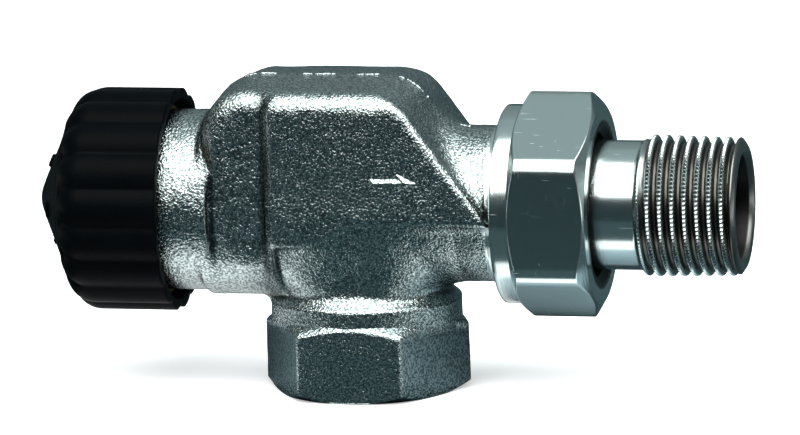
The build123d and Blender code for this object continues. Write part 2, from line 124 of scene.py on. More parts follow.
def turn_angles(turns):
    """Angles of that many even steps round a circle."""
    return np.arange(turns) * 2 * math.pi / turns


def angle_off(angle, count, turn=0.0):
    """How far an angle is from the nearest of a count of even places round a circle, the first at turn."""
    share = 2 * math.pi / count
    return np.abs((angle - turn + share / 2) % share - share / 2)


def turned_points(x, radius, angle):
    """Points round the valve axis: x and radius by row and column, angle by column."""
    x, radius, angle = np.broadcast_arrays(x, radius, angle)
    sides = [x, radius * np.cos(angle), AXIS_HEIGHT + radius * np.sin(angle)]
    return np.stack(sides, -1).reshape(-1, 3)


def upright_points(z, radius, angle):
    """Points round the inlet axis: height and radius by row and column, angle by column."""
    sides = np.broadcast_arrays(radius * np.sin(angle), radius * np.cos(angle), z)
    return np.stack(sides, -1).reshape(-1, 3)


def ring_mesh(name, rows, turns, place=turned_points, mark=None, levels=()):
    """Closed ring of rows, from pairs of arrays: where each row lies along the axis, and its radius. A mark
    names an attribute that takes one of the levels on each pair's rows."""
    along, radius = [
        np.concatenate([np.broadcast_to(pair[i], (len(pair[i]), turns)) for pair in rows]) for i in (0, 1)
    ]
    faces = ring_faces(len(along), turns, True)[:, ::-1]
    mesh = fill_mesh(name, place(along, radius, turn_angles(turns)), faces)
    if mark:
        mark_points(mesh, mark, np.concatenate([
            np.broadcast_to(level, (len(pair[0]), turns)) for pair, level in zip(rows, levels)
        ]))
    return mesh


def smooth_step(value, low, high):
    """Rise from 0 at low to 1 at high with level ends: t*t*(3-2t)."""
    t = np.clip((value - low) / (high - low), 0, 1)
    return t * t * (3 - 2 * t)


def soft_min(a, b, blend):
    """Lower of two values with a round corner as wide as blend: min(a, b) - h*h*blend/4, h the overlap."""
    h = np.maximum(blend - np.abs(a - b), 0) / blend
    return np.minimum(a, b) - h * h * blend / 4


def soft_max(a, b, blend):
    """Higher of two values with a round corner as wide as blend."""
    return -soft_min(-a, -b, blend)


def within(*bounds):
    """Distance to where all bounds hold: the highest of them."""
    highest = bounds[0]
    for bound in bounds[1:]:
        highest = np.maximum(highest, bound)
    return highest


def round_corner(a, b, radius):
    """Distance to where two faces meet at a corner rounded by an arc of that radius."""
    inside = np.minimum(np.maximum(a, b), -radius)
    return inside + np.hypot(np.maximum(a + radius, 0), np.maximum(b + radius, 0))


# Shader maths

class Wire:
    """A shader value. Arithmetic on it adds Math nodes to its tree."""

    def __init__(self, tree, socket):
        self.tree = tree
        self.socket = socket

    def node(self, kind, settings=None, values=None, out=0):
        """Any node: its type, its settings, then the values or links of its sockets."""
        made = self.tree.nodes.new(kind)
        for key, value in (settings or {}).items():
            setattr(made, key, value)
        for key, value in (values or {}).items():
            if isinstance(value, Wire):
                self.tree.links.new(value.socket, made.inputs[key])
            else:
                made.inputs[key].default_value = value
        return Wire(self.tree, made.outputs[out])

    def math(self, operation, *others):
        """Math node of this value and the others."""
        return self.node("ShaderNodeMath", {"operation": operation}, dict(enumerate((self, *others))))

    def __add__(self, other):
        return self.math("ADD", other)

    def __rsub__(self, other):
        return self.node("ShaderNodeMath", {"operation": "SUBTRACT"}, {0: other, 1: self})

    def __mul__(self, other):
        return self.math("MULTIPLY", other)

    __radd__ = __add__

    def between(self, low, high):
        """0 below low, 1 above high, with a smooth rise."""
        settings = {"interpolation_type": "SMOOTHSTEP"}
        return self.node("ShaderNodeMapRange", settings, {"Value": self, "From Min": low, "From Max": high})

    def attribute(self, name):
        """Number that the mesh's points hold under that name."""
        return self.node("ShaderNodeAttribute", {"attribute_name": name}, None, 2)

    def stretched(self, scale, turn=(0, 0, 0)):
        """Place scaled along each axis and turned, for marks that run one way."""
        return self.node("ShaderNodeMapping", None, {"Vector": self, "Scale": scale, "Rotation": turn})

    def noise(self, scale, detail=2.0, roughness=0.5):
        """Cloudy values from 0 to 1, that many waves to the metre, for a Wire that holds a place."""
        values = {"Vector": self, "Scale": scale, "Detail": detail, "Roughness": roughness}
        return self.node("ShaderNodeTexNoise", None, values)

    def mix(self, first, second):
        """Colour that goes from first to second as this value goes from 0 to 1."""
        values = {"Factor": self, 6: first, 7: second}
        return self.node("ShaderNodeMix", {"data_type": "RGBA"}, values, 2)


def start_finish(name):
    """New material: its shader, and a Wire with the place on the piece in metres."""
    material = bpy.data.materials.new(name)
    material.use_nodes = True
    tree = material.node_tree
    shader = tree.nodes["Principled BSDF"]
    place = Wire(tree, tree.nodes.new("ShaderNodeTexCoord").outputs["Object"])
    return material, shader, place


def split_place(place):
    """The three coordinates of a place as separate Wires."""
    parts = place.node("ShaderNodeSeparateXYZ", None, {0: place}).socket.node
    return [Wire(place.tree, parts.outputs[i]) for i in range(3)]


def feed(shader, **wires):
    """Links Wires to the shader's sockets; underscores stand for spaces."""
    for key, wire in wires.items():
        wire.tree.links.new(wire.socket, shader.inputs[key.replace("_", " ")])


def bumped(height, distance):
    """Normal from a height Wire, with the distance in metres that a height of 1 stands for."""
    return height.node("ShaderNodeBump", None, {"Height": height, "Distance": distance, "Strength": 1.0})


NICKEL = (0.50, 0.57, 0.565, 1)
NICKEL_CLOUD = (0.47, 0.54, 0.54, 1)
NICKEL_PIT = (0.15, 0.19, 0.195, 1)
NICKEL_SCRATCH = (0.72, 0.76, 0.75, 1)
HOLLOW_PAINTED_SHADE = (0.020, 0.025, 0.027, 1)
GROOVE_PAINTED_SHADE = (0.055, 0.050, 0.043, 1)
BORE_PAINTED_SHADE = (0.012, 0.012, 0.012, 1)
BORE_SHADE_MARK = 1.6


def cast_nickel():
    """Nickel over a sand casting: coarse grain in the relief, painted shade in the hollows, and smooth plate
    where cut.
    """
    material, shader, place = start_finish("cast_nickel")
    grain = place.noise(2900, 2, 0.55)
    lumps = place.noise(900, 2, 0.5)
    clouds = place.noise(160, 2, 0.5)
    cut = place.attribute("cut")
    hollow = place.attribute("hollow")
    rough = 1 - cut
    relief = (grain * 0.8 + lumps * 0.2) * rough
    pits = grain.between(0.40, 0.60)
    plate = (pits * rough + cut).mix(NICKEL_PIT, NICKEL)
    feed(
        shader,
        # Painted shade: the base colour goes nearly black where the hollow mark is set, in creases and along
        # the ramp's foot.
        Base_Color=(hollow * 0.92).mix(plate, HOLLOW_PAINTED_SHADE),
        Roughness=0.16 + clouds * 0.06,
        Normal=bumped(relief, 0.00020),
    )
    shader.inputs["Metallic"].default_value = 1.0
    return material


def turned_nickel():
    """Nickel over turned brass: fine turning marks, light scratches, rougher grooves with painted shade, and
    bores painted nearly black as shade.
    """
    material, shader, place = start_finish("turned_nickel")
    rings = place.stretched((1.0, 0.04, 0.04)).noise(9000, 2)
    clouds = place.noise(110, 3, 0.55)
    long_marks = place.stretched((0.05, 1.0, 1.0), (0, 0.2, 0.5)).noise(4200, 1)
    cross_marks = place.stretched((1.0, 0.07, 0.07), (0, 0.5, 0.3)).noise(4200, 1)
    scratch = long_marks.math("MAXIMUM", cross_marks).between(0.725, 0.77)
    groove = place.attribute("groove")
    plate = (scratch * 0.2).mix(clouds.mix(NICKEL, NICKEL_CLOUD), NICKEL_SCRATCH)
    # Painted shade: the groove mark darkens the plate towards a dark brown-grey, and above 1 towards near
    # black in the bores.
    grooved = groove.mix(plate, GROOVE_PAINTED_SHADE)
    feed(
        shader,
        Base_Color=groove.between(1.0, BORE_SHADE_MARK).mix(grooved, BORE_PAINTED_SHADE),
        Roughness=0.13 + clouds * 0.09 + scratch * 0.10 + groove * 0.16,
        Normal=bumped(rings * 0.5 + clouds * 0.5 + scratch * 0.25, 0.000025),
    )
    shader.inputs["Metallic"].default_value = 1.0
    return material


def moulded_black():
    """Near-black moulded plastic with a fine satin grain."""
    material, shader, place = start_finish("moulded_black")
    grain = place.noise(3800, 2, 0.5)
    clouds = place.noise(130, 3, 0.6)
    feed(
        shader,
        Base_Color=clouds.mix((0.0005, 0.0009, 0.0013, 1), (0.0010, 0.0016, 0.0022, 1)),
        Roughness=0.36 + clouds * 0.14 + grain * 0.06,
        Normal=bumped(grain * 0.5 + clouds * 0.6, 0.00006),
    )
    shader.inputs["Specular IOR Level"].default_value = 0.02
    return material


def plain_metal(name, light, dark, roughness):
    """Machined metal with turning marks and faint clouds."""
    material, shader, place = start_finish(name)
    rings = place.stretched((1.0, 0.05, 0.05)).noise(7000, 2)
    clouds = place.noise(240, 2)
    feed(
        shader,
        Base_Color=clouds.mix(dark, light),
        Roughness=roughness + clouds * 0.1,
        Normal=bumped(rings, 0.00003),
    )
    shader.inputs["Metallic"].default_value = 1.0
    return material


def soft_plastic(name, light, dark, roughness):
    """Rubber or plastic with fine pores."""
    material, shader, place = start_finish(name)
    pores = place.noise(3000, 3, 0.6)
    feed(
        shader,
        Base_Color=pores.mix(dark, light),
        Roughness=roughness + pores * 0.12,
        Normal=bumped(pores, 0.00005),
    )
    return material


# Cast housing

# Its outside
STRIP_X = -22.5
STRIP_RADIUS = 14.05
STRIP_DEPTH = 12.3
BLOCK_X = -12.0
BLOCK_DEPTH = 13.5
RAMP_ACROSS, RAMP_DEEP = 0.77, 0.64
CREASE_X = -12.1
CREASE_WIDTH = 0.75
HUMP_TOP = 19.2
HUMP_BREAK_X = 7.8
HUMP_LEFT_ROUND = 7.6
HUMP_RIGHT_ROUND = 3.4
HUMP_FLOOR = -2.0
HUMP_FLOOR_STEP = 3.6
SLOPE = math.radians(54)
DRAFT = math.tan(math.radians(4))
LOWER_EDGE = 0.7
UPPER_EDGE = 2.1
SLOPE_EDGE_LESS = 1.6
CORE_RADIUS = 13.4
CORE_TAPER_X = (6.0, 16.0)
NECK_RADIUS = 13.5
NECK_END_X = STRIP_X + 1.6
NECK_EDGE = 0.3
OUTLET_NECK_RADIUS = 11.6
RISER_RADIUS = 11.5
RISER_REACH = 12.6
RISER_FOOT = 9.0
SHOULDER_RISE = 1.5
COLLAR_RADIUS = 13.2
COLLAR_REACH = 14.3
COLLAR_TOP = 13.7
FLARE_TOP = 15.9
FLARE_POWER = 1.7

# Its bores and passages
HEAD_BORE, HEAD_BORE_END_X = 10.05, -24.0
CHAMBER_RADIUS, CHAMBER_X, CHAMBER_END_X = 10.4, -24.4, -13.5
SEAT_BORE, SEAT_RIM, SEAT_X = 5.6, 6.9, -14.5
THROAT_RADIUS, THROAT_X, THROAT_FOOT, THROAT_TOP = 6.0, -2.5, -11.5, 6.0
INLET_BORE, INLET_BORE_TOP = 8.6, -10.0
SOCKET_RADIUS, SOCKET_TOP = 10.55, 14.0
ROOF_WALL = 3.5
PASSAGE_DEPTH, PASSAGE_ROOF, PASSAGE_FLOOR = 9.5, 15.85, 8.5
PASSAGE_RISE_FOOT, PASSAGE_FALL_X = 5.2, 6.0
OUTLET_BORE, OUTLET_CONE_X = 7.5, 25.13
OVERLAP = 0.2

# Its mesh, and the cast skin between the machined ends: height, size and seed of each wave
GRID_STEP = 0.42
CAST_X, CAST_END_X = -29.6, 20.6
CAST_WAVES = ((0.05, 1.9, 4), (0.03, 0.95, 7))
SKIN_INSET = 0.05


def hump_slope(x, h):
    """Distance to the plane of the hump's slope."""
    return (x - HUMP_BREAK_X) * math.sin(SLOPE) + (h - HUMP_TOP) * math.cos(SLOPE)


def side_outline(x, h):
    """Distance to the hump's side outline: left wall, top and slope with round corners, and a floor that
    steps down to the left."""
    left_top = round_corner(STRIP_X - x, h - HUMP_TOP, HUMP_LEFT_ROUND)
    floor = HUMP_FLOOR - HUMP_FLOOR_STEP * smooth_step(-x, -2.0, 6.0)
    return np.maximum(soft_max(left_top, hump_slope(x, h), HUMP_RIGHT_ROUND), floor - h)


def housing_trunk(x, y, h):
    """Distance to the casting's lengthwise part: the drafted hump and the strip, whose front steps back over
    a ramp, the tapered core and the head neck, blended."""
    depth = np.abs(y)
    radius = np.hypot(y, h)
    outline = side_outline(x, h) + depth * DRAFT
    upper = np.maximum(smooth_step(h, 1.0, 9.0), smooth_step(-x, 16.0, 20.0))
    edge = LOWER_EDGE + (UPPER_EDGE - SLOPE_EDGE_LESS * smooth_step(x, 4.0, 8.0)) * upper
    barrel = within(radius - STRIP_RADIUS, STRIP_X - x, x - BLOCK_X - 1)
    ramp = (BLOCK_X - x) * RAMP_ACROSS + (depth - STRIP_DEPTH) * RAMP_DEEP
    face = soft_min(depth - STRIP_DEPTH, soft_max(depth - BLOCK_DEPTH, ramp, 0.4), 0.6)
    block = round_corner(soft_min(outline, barrel, 0.8), face, edge)
    taper = np.interp(x, CORE_TAPER_X, [CORE_RADIUS, OUTLET_NECK_RADIUS])
    core = within(radius - taper, BLOCK_X - x, x - OUTLET_X)
    head = round_corner(radius - NECK_RADIUS, np.maximum(HEAD_X - x, x - NECK_END_X), NECK_EDGE)
    return soft_min(soft_min(block, core, 0.6 + 1.6 * smooth_step(x, 6.0, 12.0)), head, 1.0)


def housing_outside(x, y, h):
    """Distance to the casting's outside: the trunk blended with the riser. The riser's section is an oval
    whose power, 2 at the foot, rises with the height and flattens its front. It flares out below as a power
    of the height and has a shoulder above."""
    z = h + AXIS_HEIGHT
    flare = np.clip((FLARE_TOP - z) / (FLARE_TOP - COLLAR_TOP), 0, 1) ** FLARE_POWER
    shoulder = smooth_step(h, -11.0, -3.0)
    side = RISER_RADIUS + (COLLAR_RADIUS - RISER_RADIUS) * flare + SHOULDER_RISE * shoulder
    reach = RISER_REACH + (COLLAR_REACH - RISER_REACH) * flare
    power = 2 + smooth_step(h, -13.5, -8.5) * (1.7 - 0.4 * smooth_step(x, -3.0, 5.0))
    oval = side * ((np.abs(x) / reach) ** power + (np.abs(y) / side) ** power) ** (1 / power)
    riser = within((oval - side) * 0.8, RISER_FOOT - z, h)
    return soft_min(housing_trunk(x, y, h), riser, 1.3 - 0.8 * shoulder)


def housing_inside(x, y, h):
    """Distance to the cavities, the lowest of them all: head bore, disc chamber round a raised seat, throat,
    passage over the throat, outlet and inlet bores."""
    radius = np.hypot(y, h)
    inlet_radius = np.hypot(x, y)
    chamber = within(radius - CHAMBER_RADIUS, CHAMBER_X - x, x - CHAMBER_END_X)
    lip = within(radius - SEAT_RIM, SEAT_BORE - radius, SEAT_X - x, x - CHAMBER_END_X - OVERLAP)
    roof = within(
        STRIP_X + ROOF_WALL - x, h - PASSAGE_ROOF, hump_slope(x, h) + ROOF_WALL, np.abs(y) - PASSAGE_DEPTH
    )
    cone = np.maximum(x - OUTLET_CONE_X, 0) * math.tan(math.radians(30))
    hollows = [
        np.maximum(radius - HEAD_BORE, x - HEAD_BORE_END_X),
        np.maximum(chamber, -lip),
        within(radius - SEAT_BORE, SEAT_X - 0.5 - x, x - THROAT_X),
        within(np.hypot(x - THROAT_X, y) - THROAT_RADIUS, THROAT_FOOT - h, h - THROAT_TOP),
        np.maximum(inlet_radius - INLET_BORE, h - INLET_BORE_TOP),
        np.maximum(inlet_radius - SOCKET_RADIUS, h + AXIS_HEIGHT - SOCKET_TOP),
        np.maximum(roof, PASSAGE_FLOOR - h),
        within(roof, PASSAGE_FALL_X - x, -h),
        within(roof, x - CHAMBER_END_X, PASSAGE_RISE_FOOT - h),
        np.maximum(radius - OUTLET_BORE - cone, PASSAGE_FALL_X - x),
    ]
    return -within(*(-hollow for hollow in hollows))


def housing_field(x, y, h):
    """Distance to the whole housing, outside less inside."""
    return soft_max(housing_outside(x, y, h), -housing_inside(x, y, h), 0.3)


def net_surface(field, low, high, step):
    """Closed surface where a field is zero. A grid cell that the surface crosses gets one point, the mean of
    its edge crossings, and each crossed edge a quad between the four cells round it. Newton steps along the
    field's slope then set the points on the surface."""
    sides = [np.arange(a, b + step, step, dtype=np.float32) for a, b in zip(low, high)]
    value = field(*np.meshgrid(*sides, indexing="ij")).astype(np.float32)
    shape = np.array(value.shape)
    total = np.zeros((*(shape - 1), 3), np.float32)
    count = np.zeros(shape - 1, np.int8)
    crossings = []
    for axis in range(3):
        near = np.moveaxis(value, axis, 0)[:-1]
        far = np.moveaxis(value, axis, 0)[1:]
        crossed = (near < 0) != (far < 0)
        share = np.where(crossed, near / np.where(crossed, near - far, 1), 0)
        crossed = np.moveaxis(crossed, 0, axis)
        share = np.moveaxis(share, 0, axis)
        first, second = [a for a in range(3) if a != axis]
        for i in (0, 1):
            for j in (0, 1):
                cut = [slice(None)] * 3
                cut[first] = slice(i, shape[first] - 1 + i)
                cut[second] = slice(j, shape[second] - 1 + j)
                hit = crossed[tuple(cut)]
                count += hit
                total[..., axis] += np.where(hit, share[tuple(cut)], 0)
                total[..., first] += hit * i
                total[..., second] += hit * j
        crossings.append(crossed)
    used = count > 0
    number = np.full(count.shape, -1, np.int64)
    number[used] = np.arange(used.sum())
    cells = np.argwhere(used)
    points = (cells + total[used] / count[used][:, None]) * step + np.array(low)
    quads = []
    for axis, crossed in enumerate(crossings):
        first, second = (axis + 1) % 3, (axis + 2) % 3
        edge = np.argwhere(crossed)
        inner = (edge[:, first] > 0) & (edge[:, second] > 0)
        inner &= (edge[:, first] < shape[first] - 1) & (edge[:, second] < shape[second] - 1)
        edge = edge[inner]
        ring = []
        for i, j in ((1, 1), (0, 1), (0, 0), (1, 0)):
            cell = edge.copy()
            cell[:, first] -= i
            cell[:, second] -= j
            ring.append(number[tuple(cell.T)])
        quad = np.stack(ring, 1)
        outward = value[tuple(edge.T)] < 0
        quads.append(np.where(outward[:, None], quad, quad[:, ::-1]))
    for _ in range(3):
        points -= slope_step(field, points)
    return points, np.concatenate(quads)


def slope_step(field, points, reach=0.02, limit=0.25):
    """Newton step to the field's zero: value times slope over slope squared, no longer than limit."""
    value = field(*points.T)
    slope = np.stack([
        (field(*(points + shift).T) - field(*(points - shift).T)) / (2 * reach) for shift in np.eye(3) * reach
    ], 1)
    step = slope * (value / np.maximum((slope * slope).sum(1), 0.05))[:, None]
    length = np.linalg.norm(step, axis=1, keepdims=True)
    return step * np.minimum(1, limit / np.maximum(length, 1e-9))


def field_normals(field, points, reach=0.05):
    """Unit slope of a field at the points."""
    slope = np.stack([
        field(*(points + shift).T) - field(*(points - shift).T) for shift in np.eye(3) * reach
    ], 1)
    return slope / np.maximum(np.linalg.norm(slope, axis=1, keepdims=True), 1e-9)


def hollowness(field, points, reach=0.5):
    """How hollow a surface is, per millimetre: the field's bend, summed over the three axes, with its sign
    turned, so that it is above zero in a hollow."""
    around = sum(field(*(points + shift).T) + field(*(points - shift).T) for shift in np.eye(3) * reach)
    return (6 * field(*points.T) - around) / reach ** 2


def lattice_noise(points, size, seed):
    """Smooth noise from -1 to 1: random values on a lattice of that size, joined by smooth steps."""
    cells = 32
    table = np.random.default_rng(seed).uniform(-1, 1, (cells, cells, cells))
    place = points / size + 500
    base = np.floor(place).astype(int)
    part = smooth_step(place - base, 0, 1)
    total = np.zeros(len(points))
    for corner in np.ndindex(2, 2, 2):
        weight = np.prod(np.where(corner, part, 1 - part), axis=1)
        total += weight * table[tuple(((base + corner) % cells).T)]
    return total


def cast_housing(finish):
    """Housing surface from its field, pushed in and out a little where it is as cast. The creases and the
    ramp's foot are marked as hollow, for painted shade, and the machined ends and the inside as cut."""
    margin = 0.9
    low = (HEAD_X - margin, -BLOCK_DEPTH - 2 * margin, RISER_FOOT - AXIS_HEIGHT - margin)
    high = (OUTLET_X + margin, BLOCK_DEPTH + 2 * margin, HUMP_TOP + margin)
    points, quads = net_surface(housing_field, low, high, GRID_STEP)
    x, y, h = points.T
    inner = np.abs(housing_inside(x, y, h)) < 0.3
    cut = inner | (x < CAST_X) | (x > CAST_END_X)
    # The hollow mark is painted shade: bent-in creases, and a dark line along the ramp's foot where a groove
    # falls in shadow.
    hollow = smooth_step(hollowness(housing_outside, points), 0.45, 1.30)
    foot = np.exp(-((x - CREASE_X) / CREASE_WIDTH) ** 2) * smooth_step(np.abs(y), 9.0, 11.5)
    hollow = np.maximum(hollow, foot) * ~cut
    normals = field_normals(housing_field, points)
    wave = sum(height * lattice_noise(points, size, seed) for height, size, seed in CAST_WAVES)
    points = points + normals * (wave * ~cut - SKIN_INSET)[:, None]
    points[:, 2] += AXIS_HEIGHT
    mesh = fill_mesh("cast_housing", points, quads)
    mark_points(mesh, "cut", cut)
    mark_points(mesh, "hollow", hollow)
    return add_piece("cast_housing", mesh, "housing", finish, "valve_body")


# Fluted cap

CAP_RADIUS = 16.6
CAP_CORE_RADIUS = 14.2
CAP_MIDDLE_X = -39.0
LOBES = 18
LOBE_RADIUS = 4.4
LOBE_PITCH = CAP_RADIUS - LOBE_RADIUS
LOBE_END_X = CAP_RIM_X - 11.5
LOBE_TURN = math.radians(90 + 4.4)
CONE_X = CAP_TIP_X + 4.0
CONE_RADIUS = 9.6
CONE_FOOT_RADIUS = 11.8
CONE_RUN, CONE_RISE = 3.5, 7.2
TIP_ROUND = 6.0
TIP_FLAT = 0.9
BARS = 5
BAR_TURN = math.radians(185)
BAR_RADIUS = 6.6
BAR_HEIGHT = 0.45
BAR_FORWARD, BAR_OUTWARD = 0.86, 0.5

# Rim rows, each so far back from the rim and so far in, then the bore's outline in x and radius
CAP_EDGE = ((0.05, 0.22), (0.0, 0.5))
CAP_BORE = (
    (CAP_RIM_X, 15.0), (CAP_RIM_X - 0.6, 14.6), (-39.9, 14.6), (-40.2, 14.3), (-40.35, 11.6), (-42.6, 11.57),
    (-42.85, 11.2), (-42.85, 7.0), (-43.9, 6.95), (-44.0, 6.6), (-44.0, 0.02),
)


def cap_field(x, radius, angle):
    """Distance to the cap's outside: a ring of round-ended lobes blended with a core and a blunt cone."""
    off = angle_off(angle, LOBES, LOBE_TURN)
    past = np.minimum(x - LOBE_END_X, 0)
    near, beside = [
        np.sqrt((radius * np.cos(a) - LOBE_PITCH) ** 2 + (radius * np.sin(a)) ** 2 + past ** 2) - LOBE_RADIUS
        for a in (off, 2 * math.pi / LOBES - off)
    ]
    lobes = soft_min(near, beside, 0.25)
    core = soft_max(radius - CAP_CORE_RADIUS, LOBE_END_X - LOBE_RADIUS + 0.15 - x, 1.2)
    length = math.hypot(CONE_RUN, CONE_RISE)
    cone = ((CONE_X - x) * CONE_RISE + (radius - CONE_RADIUS) * CONE_RUN) / length
    tip = np.hypot(x - CAP_TIP_X - TIP_ROUND, radius) - TIP_ROUND
    cone = soft_max(cone, np.minimum(tip, CAP_TIP_X + TIP_FLAT - x), 0.2)
    cone = np.maximum(soft_max(cone, radius - CONE_FOOT_RADIUS, 1.0), x - LOBE_END_X)
    return soft_min(soft_min(lobes, core, 0.3), cone, 0.6)


def bar_height(x, radius, angle):
    """Rise of the small bars on the cone: a soft-edged oblong at even places round it."""
    wide = 1 - smooth_step(radius * angle_off(angle, BARS, BAR_TURN), 1.05, 1.3)
    deep = 1 - smooth_step(np.abs(radius - BAR_RADIUS), 0.28, 0.5)
    return BAR_HEIGHT * wide * deep * (x < CONE_X + 2)


def fluted_cap(finish):
    """Cap: rays from the axis are shortened to the outside's field, by row and angle, and the inside follows
    as plain rings. Rows go from the tip over the lobes to the rim and back up the bore."""
    turns = LOBES * 24
    angle = turn_angles(turns)
    fan = np.concatenate([
        np.linspace(0.004, 0.86, 70, endpoint=False), np.linspace(0.86, math.pi / 2, 46, endpoint=False)
    ])
    side = np.concatenate([
        np.linspace(CAP_MIDDLE_X, CAP_RIM_X - 0.7, 26), CAP_RIM_X - np.array([0.4, 0.18])
    ])
    along = np.concatenate([-np.cos(fan), np.zeros(len(side))])[:, None]
    out = np.concatenate([np.sin(fan), np.ones(len(side))])[:, None]
    start = np.concatenate([np.full(len(fan), CAP_MIDDLE_X), side])[:, None]
    reach = np.full((len(along), turns), 20.0)
    for _ in range(90):
        reach -= 0.8 * cap_field(start + along * reach, out * reach, angle)
    x = start + along * reach
    radius = out * reach
    lift = bar_height(x, radius, angle)
    x = x - lift * BAR_FORWARD
    radius = radius + lift * BAR_OUTWARD
    edge = [(CAP_RIM_X - back, radius[-1] - inset) for back, inset in CAP_EDGE]
    rings = [*edge, *CAP_BORE]
    rows_x = np.array([*x, *(np.full(turns, place) for place, _ in rings)])
    rows_r = np.array([*radius, *(np.broadcast_to(size, turns) for _, size in rings)])
    points = turned_points(rows_x, rows_r, angle)
    points[:, 0] = np.maximum(points[:, 0], CAP_TIP_X)
    faces = ring_faces(len(rows_x), turns, False)[:, ::-1]
    mesh = fill_mesh("fluted_cap", *close_poles(points, faces, turns))
    return add_piece("fluted_cap", mesh, "cap", finish, "protective_cap", 50)


def close_poles(points, faces, turns):
    """Joins each end row of a ring grid to one point, its first, and leaves out that row's other points."""
    last = len(points) - turns
    joined = np.where(faces < turns, 0, np.where(faces >= last, last, faces))
    kept, joined = np.unique(joined, return_inverse=True)
    return points[kept], joined.reshape(-1, 4)


# Turned pieces

PITCH = 1.814
HEAD_PITCH = 1.5
THREAD_DEPTH = 1.12
CHAMFER = math.tan(math.radians(30))


def thread_wave(x, angle, pitch=PITCH, shift=0.0):
    """Right-hand thread: 1 on the crest and 0 at the root, from the place along a helix, with round ends."""
    place = (x + shift) / pitch - angle / (2 * math.pi)
    slope = 2 * np.abs(place - np.floor(place) - 0.5)
    flank = np.clip(1.5 * slope - 0.25, 0, 1)
    return 0.45 * flank + 0.55 * flank * flank * (3 - 2 * flank)


def ring_profile(corners, spacing):
    """Places and radii along a run of straight lines through corners (x, radius), no further apart than
    spacing. The last corner is left to the rows that follow."""
    runs = []
    for (x0, r0), (x1, r1) in zip(corners[:-1], corners[1:]):
        steps = max(1, math.ceil(math.hypot(x1 - x0, r1 - r0) / spacing))
        share = np.arange(steps)[:, None] / steps
        runs.append(np.array([[x0, r0]]) * (1 - share) + np.array([[x1, r1]]) * share)
    points = np.concatenate(runs)
    return points[:, :1], points[:, 1:]


def hexagon_reach(angle, half, corner):
    """Reach of a hexagon with rounded corners: half its flats over the cosine, then the corner's arc."""
    off = angle_off(angle, 6)
    centre = (half - corner) / HALF_HEX
    back = math.pi / 6 - off
    arc = centre * np.cos(back) + np.sqrt(np.maximum(corner ** 2 - (centre * np.sin(back)) ** 2, 0))
    return np.where(half * np.tan(off) < (half - corner) * CHAMFER, half / np.cos(off), arc)


OUTLET_CREST = 13.2
OUTLET_ROOT = 12.1
NUT_HALF, NUT_CORNER = 15.0, 3.2
NUT_COLLAR = 14.7
NUT_HEX_X = NUT_END_X - 11.6
NUT_END_RADIUS = 14.5
NUT_BORE, NUT_LIP_BORE = 13.5, 10.66
NUT_STEP_X = 32.5
NUT_THREAD_END_X = 31.2


def union_nut(finish):
    """Nut: collar, hexagon with a cone cut at each end, and a threaded bore, as one closed ring of rows. The
    hexagon's radius is the lower of its reach and the two cones."""
    turns = 384
    angle = turn_angles(turns)
    collar = ring_profile([
        (NUT_X, 13.9), (NUT_X + 0.06, 14.4), (NUT_X + 0.25, 14.65), (NUT_X + 0.5, NUT_COLLAR),
        (NUT_HEX_X - 0.02, NUT_COLLAR),
    ], 0.5)
    hex_x = np.concatenate([
        np.linspace(NUT_HEX_X, NUT_HEX_X + 1.9, 30, endpoint=False),
        np.linspace(NUT_HEX_X + 1.9, NUT_END_X - 2.0, 12),
        np.linspace(NUT_END_X - 1.95, NUT_END_X, 34),
    ])[:, None]
    rear_cone = NUT_COLLAR + (hex_x - NUT_HEX_X) / CHAMFER
    end_cone = NUT_END_RADIUS + (NUT_END_X - hex_x) / CHAMFER
    hexagon = soft_min(hexagon_reach(angle, NUT_HALF, NUT_CORNER), np.minimum(rear_cone, end_cone), 0.18)
    face = ring_profile([(NUT_END_X, 14.3), (NUT_END_X, 12.1)], 0.6)
    inside = ring_profile([
        (NUT_END_X, 12.1), (NUT_END_X, 11.55), (NUT_END_X - 0.85, NUT_LIP_BORE),
        (NUT_STEP_X + 0.1, NUT_LIP_BORE), (NUT_STEP_X, 10.8), (NUT_STEP_X, NUT_BORE),
        (NUT_THREAD_END_X, NUT_BORE),
    ], 0.6)
    bore_x = np.linspace(NUT_THREAD_END_X, NUT_X + 0.9, 84)[:, None]
    fade = smooth_step(bore_x, NUT_THREAD_END_X, NUT_THREAD_END_X - 0.8)
    fade = fade * smooth_step(bore_x, NUT_X + 0.6, NUT_X + 1.6)
    bore = NUT_BORE - fade * (NUT_BORE - OUTLET_ROOT - 0.12) * (1 - thread_wave(bore_x, angle))
    mouth = ring_profile([(NUT_X + 0.9, NUT_BORE), (NUT_X, 13.65), (NUT_X, 13.9)], 0.3)
    rows = [collar, (hex_x, hexagon), face, inside, (bore_x, bore), mouth]
    # The inside, the threaded bore and the mouth take the bore mark: painted near-black shade.
    levels = [0, 0, 0, BORE_SHADE_MARK, BORE_SHADE_MARK, BORE_SHADE_MARK]
    mesh = ring_mesh("hex_nut", rows, turns, mark="groove", levels=levels)
    return add_piece("hex_nut", mesh, "nut", finish, "union_nut", 35)


INLET_HALF, INLET_CORNER = 13.5, 0.6
INLET_HEX_TOP = 11.2
INLET_END_RADIUS = 13.6
INLET_THREAD_BORE = 9.316


